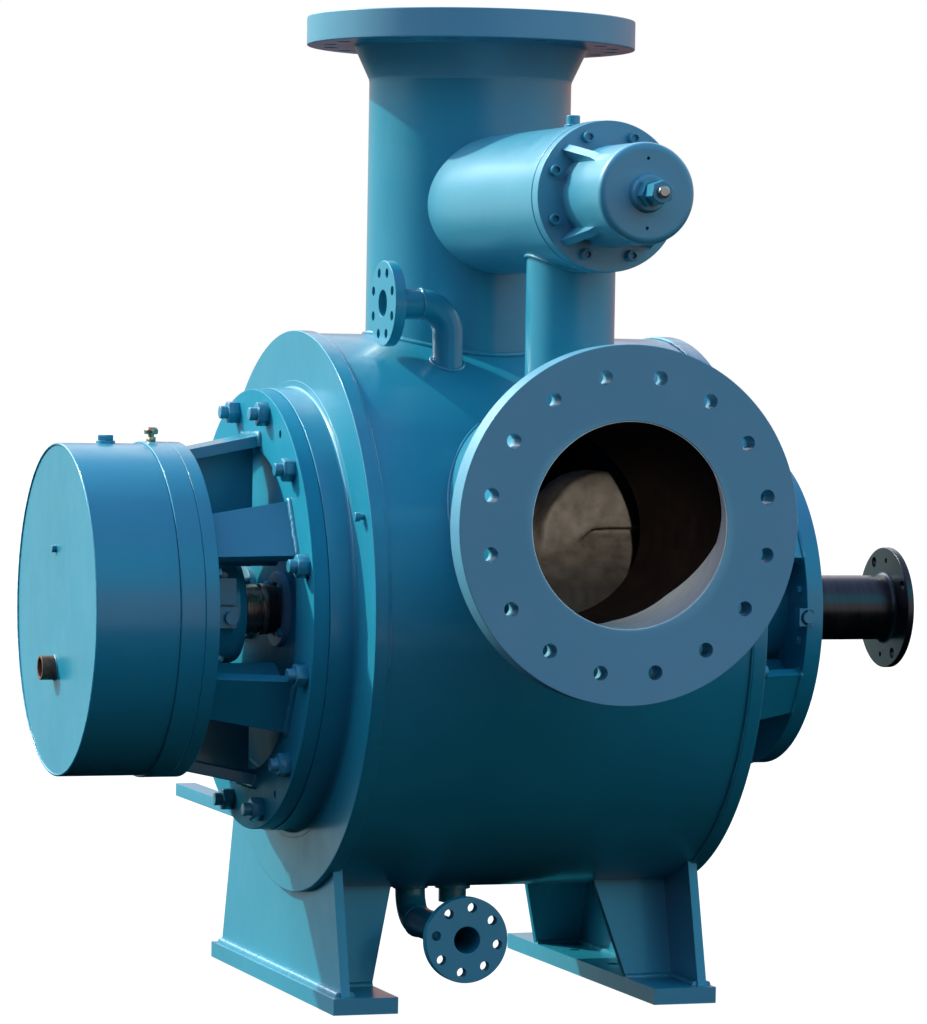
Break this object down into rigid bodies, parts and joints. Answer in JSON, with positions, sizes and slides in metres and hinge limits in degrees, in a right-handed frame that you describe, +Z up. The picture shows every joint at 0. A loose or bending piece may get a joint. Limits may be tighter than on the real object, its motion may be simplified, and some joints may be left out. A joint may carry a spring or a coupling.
{
  "type": "twin screw pump",
  "caption": "Horizontal twin screw pump on two welded plate feet, with a suction branch on top, a discharge branch in front, a relief valve between them and a drive coupling at the right.",
  "frame": {"origin": "middle of the part's bounding box, on the floor under the two base plates", "axes": "+X along the shafts from the gear case to the drive coupling, -Y the way the discharge flange faces, +Z up through the suction flange"},
  "size_m": [1.733, 1.977, 1.95],
  "materials": {
    "blue_paint": "glossy blue paint on welded and cast steel",
    "black_paint": "blackened steel with a slight sheen",
    "bare_steel": "machined steel",
    "rough_cast": "rough as cast"
  },
  "bodies": {
    "pump_body": {"arm_left_bottom": "blue_paint", "arm_left_front_lower": "blue_paint", "arm_left_front_upper": "blue_paint", "arm_left_rear_lower": "blue_paint", "arm_left_rear_upper": "blue_paint", "arm_left_top": "blue_paint", "arm_right_bottom": "blue_paint", "arm_right_front_lower": "blue_paint", "arm_right_front_upper": "blue_paint", "arm_right_rear_lower": "blue_paint", "arm_right_rear_upper": "blue_paint", "arm_right_top": "blue_paint", "base_plate_left": "blue_paint", "base_plate_right": "blue_paint", "bearing_cap_drive": "blue_paint", "bearing_cap_driven": "blue_paint", "bearing_housing_left_front": "blue_paint", "bearing_housing_left_rear": "blue_paint", "bearing_housing_right_front": "blue_paint", "bearing_housing_right_rear": "blue_paint", "bearing_plate_left": "blue_paint", "bearing_plate_right": "blue_paint", "casing_barrel_front": "blue_paint", "casing_barrel_left": "blue_paint", "casing_barrel_rear": "blue_paint", "casing_barrel_right": "blue_paint", "casing_end_left": "blue_paint", "casing_end_right": "blue_paint", "cover_left": "blue_paint", "cover_right": "blue_paint", "discharge_flange": "blue_paint", "discharge_neck": "blue_paint", "drain_boss": "blue_paint", "drain_flange": "blue_paint", "drain_pipe": "blue_paint", "foot_left": "blue_paint", "foot_right": "blue_paint", "gear_case_cover": "blue_paint", "gear_case_flange": "blue_paint", "rear_bar_left": "blue_paint", "rear_bar_right": "blue_paint", "relief_adjusting_screw": "bare_steel", "relief_down_pipe": "blue_paint", "relief_valve_body": "blue_paint", "relief_valve_bonnet": "blue_paint", "screw_housing": "rough_cast", "suction_flange": "blue_paint", "suction_pipe": "blue_paint", "vent_flange": "blue_paint", "vent_pipe": "blue_paint"},
    "drive_rotor": {"drive_shaft": "bare_steel", "coupling_flange": "black_paint"},
    "driven_rotor": {"driven_shaft": "bare_steel"}
  },
  "joints": [
    {"name": "drive_shaft_turn", "type": "hinge", "parent": "pump_body", "child": "drive_rotor", "pos_m": [0.6745, -0.0245, 0.7715], "axis": [1, 0, 0], "continuous": true},
    {"name": "driven_shaft_turn", "type": "hinge", "parent": "pump_body", "child": "driven_rotor", "pos_m": [0.4745, 0.2055, 0.7715], "axis": [1, 0, 0], "continuous": true}
  ],
  "couplings": [
    {"joint": "driven_shaft_turn", "follows": "drive_shaft_turn", "ratio": -1}
  ]
}
